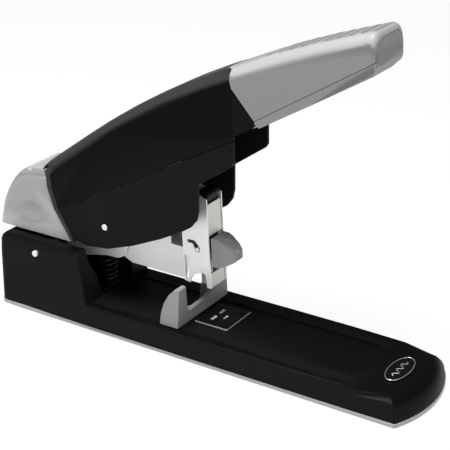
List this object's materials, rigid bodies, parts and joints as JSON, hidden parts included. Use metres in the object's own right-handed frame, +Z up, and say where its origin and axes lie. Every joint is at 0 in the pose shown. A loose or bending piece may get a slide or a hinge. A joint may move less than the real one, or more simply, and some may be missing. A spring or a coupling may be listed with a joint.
{
  "type": "long reach stapler",
  "caption": "Heavy stapler with a long paper bed, a sprung pivoting head, a lever handle that drives the staple, a pull-out magazine and a sliding paper guide.",
  "frame": {"origin": "under the middle of the whole length and width, on the plane that the feet stand on", "axes": "+X from the rear housing towards the round nose of the base, +Y across to the stapler's left, +Z up"},
  "size_m": [0.3276, 0.0766, 0.2299],
  "materials": {
    "black_plastic": "satin",
    "grey_plastic": "satin",
    "dark_grey_plastic": "satin",
    "nickel_steel": "bright nickel plate",
    "spring_steel": "satin",
    "blued_steel": "blackened",
    "grey_tray": "satin",
    "rubber": "matte",
    "badge_metal": "satin"
  },
  "bodies": {
    "base": {"rubber_foot_1": "rubber", "rubber_foot_2": "rubber", "rubber_foot_3": "rubber", "rubber_foot_4": "rubber", "base_tray": "grey_tray", "base_shell": "black_plastic", "base_bracket": "blued_steel", "bracket_screw_1": "spring_steel", "bracket_screw_2": "spring_steel", "head_pivot_pin": "nickel_steel", "spring_seat": "blued_steel", "lift_spring": "spring_steel", "anvil_plate": "blued_steel", "anvil_screw_1": "blued_steel", "anvil_screw_2": "blued_steel", "badge": "badge_metal"},
    "guide": {"paper_guide": "dark_grey_plastic"},
    "head": {"frame_left": "nickel_steel", "frame_right": "nickel_steel", "handle_pin": "nickel_steel", "frame_spacer_rear": "spring_steel", "frame_spacer_top": "spring_steel", "lift_spring_plate": "nickel_steel", "rear_cap": "grey_plastic", "magazine_cover_left": "nickel_steel", "magazine_cover_right": "nickel_steel", "nose_left": "nickel_steel", "nose_right": "nickel_steel", "latch_pin_left": "nickel_steel", "latch_pin_right": "nickel_steel", "nose_front_plate": "nickel_steel", "nose_lower_plate": "nickel_steel", "staple_guide": "dark_grey_plastic", "nose_cap": "black_plastic"},
    "magazine": {"magazine_slide": "nickel_steel", "staple_rail": "nickel_steel", "release_tab_pin": "nickel_steel"},
    "pusher": {"pusher": "dark_grey_plastic"},
    "tab": {"release_tab": "dark_grey_plastic"},
    "driver": {"driver_blade": "blued_steel", "driver_block": "blued_steel"},
    "handle": {"lever_left": "nickel_steel", "lever_right": "nickel_steel", "press_pin": "spring_steel", "return_spring": "spring_steel", "casing_upper": "black_plastic", "casing_rim_left": "black_plastic", "casing_rim_right": "black_plastic", "casing_skirt_left": "black_plastic", "casing_skirt_right": "black_plastic", "grip_top": "grey_plastic", "grip_bottom": "grey_plastic"}
  },
  "joints": [
    {"name": "head_pivot", "type": "hinge", "parent": "base", "child": "head", "pos_m": [-0.1183, 0, 0.0464], "axis": [0, 1, 0], "range_deg": [0, 10], "stiffness_Nm_per_rad": 3, "springref_deg": -28.65, "deforming": ["lift_spring"]},
    {"name": "handle_pivot", "type": "hinge", "parent": "head", "child": "handle", "pos_m": [-0.0669, 0, 0.0734], "axis": [0, 1, 0], "range_deg": [0, 17.7], "stiffness_Nm_per_rad": 2, "springref_deg": -28.65},
    {"name": "driver_slide", "type": "slide", "parent": "head", "child": "driver", "axis": [0.0593, 0, -0.9982], "range_m": [0, 0.01965]},
    {"name": "magazine_slide_out", "type": "slide", "parent": "head", "child": "magazine", "axis": [-1, 0, 0], "range_m": [-0.055, 0]},
    {"name": "pusher_slide", "type": "slide", "parent": "magazine", "child": "pusher", "axis": [1, 0, 0], "range_m": [-0.036, 0], "stiffness_N_per_m": 30, "springref_m": 0.05},
    {"name": "release_tab_hinge", "type": "hinge", "parent": "magazine", "child": "tab", "pos_m": [0.01061, 0, 0.05994], "axis": [0, 1, 0], "range_deg": [0, 7], "stiffness_Nm_per_rad": 0.2, "springref_deg": -28.65},
    {"name": "guide_slide", "type": "slide", "parent": "base", "child": "guide", "axis": [1, 0, 0], "range_m": [-0.045, 0]}
  ],
  "couplings": [
    {"joint": "driver_slide", "follows": "handle_pivot", "m_per_rad": 0.063602}
  ]
}
